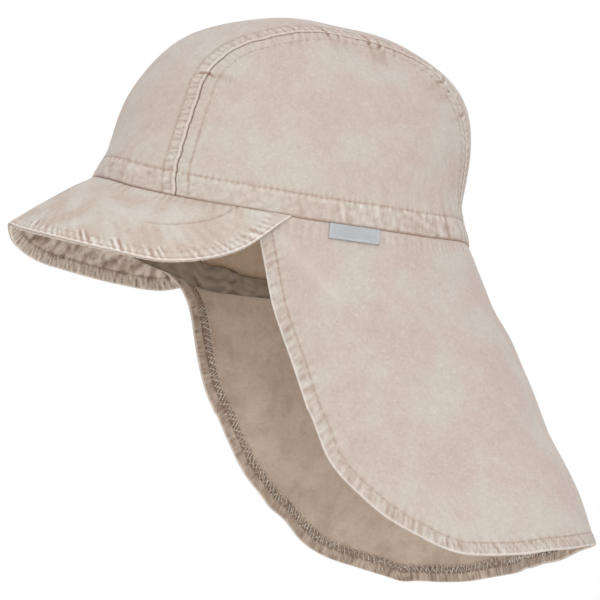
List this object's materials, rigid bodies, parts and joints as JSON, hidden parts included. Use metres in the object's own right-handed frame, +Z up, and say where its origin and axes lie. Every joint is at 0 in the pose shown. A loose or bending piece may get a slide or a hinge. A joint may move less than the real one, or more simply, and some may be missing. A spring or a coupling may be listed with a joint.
{
  "type": "peaked cap with neck flap",
  "caption": "Soft cotton cap with a drooping peak, a panelled crown, an inner sweatband and a long flared neck flap.",
  "frame": {"origin": "middle of the head opening, 2.6 mm above the rim's front", "axes": "-Y towards the wearer's front and the peak, +X towards the wearer's left, +Z up to the crown"},
  "size_m": [0.2338, 0.2918, 0.2608],
  "materials": {
    "cotton": "washed beige plain-weave cotton",
    "tape": "grey-brown cotton tape",
    "woven_tab": "plain grey woven tab"
  },
  "bodies": {
    "root": {"crown_centre_panel": "cotton", "crown_left_panel": "cotton", "crown_right_panel": "cotton", "sweatband": "tape", "peak_top": "cotton", "peak_under": "cotton", "neck_flap": "cotton", "side_label": "woven_tab"}
  },
  "joints": []
}
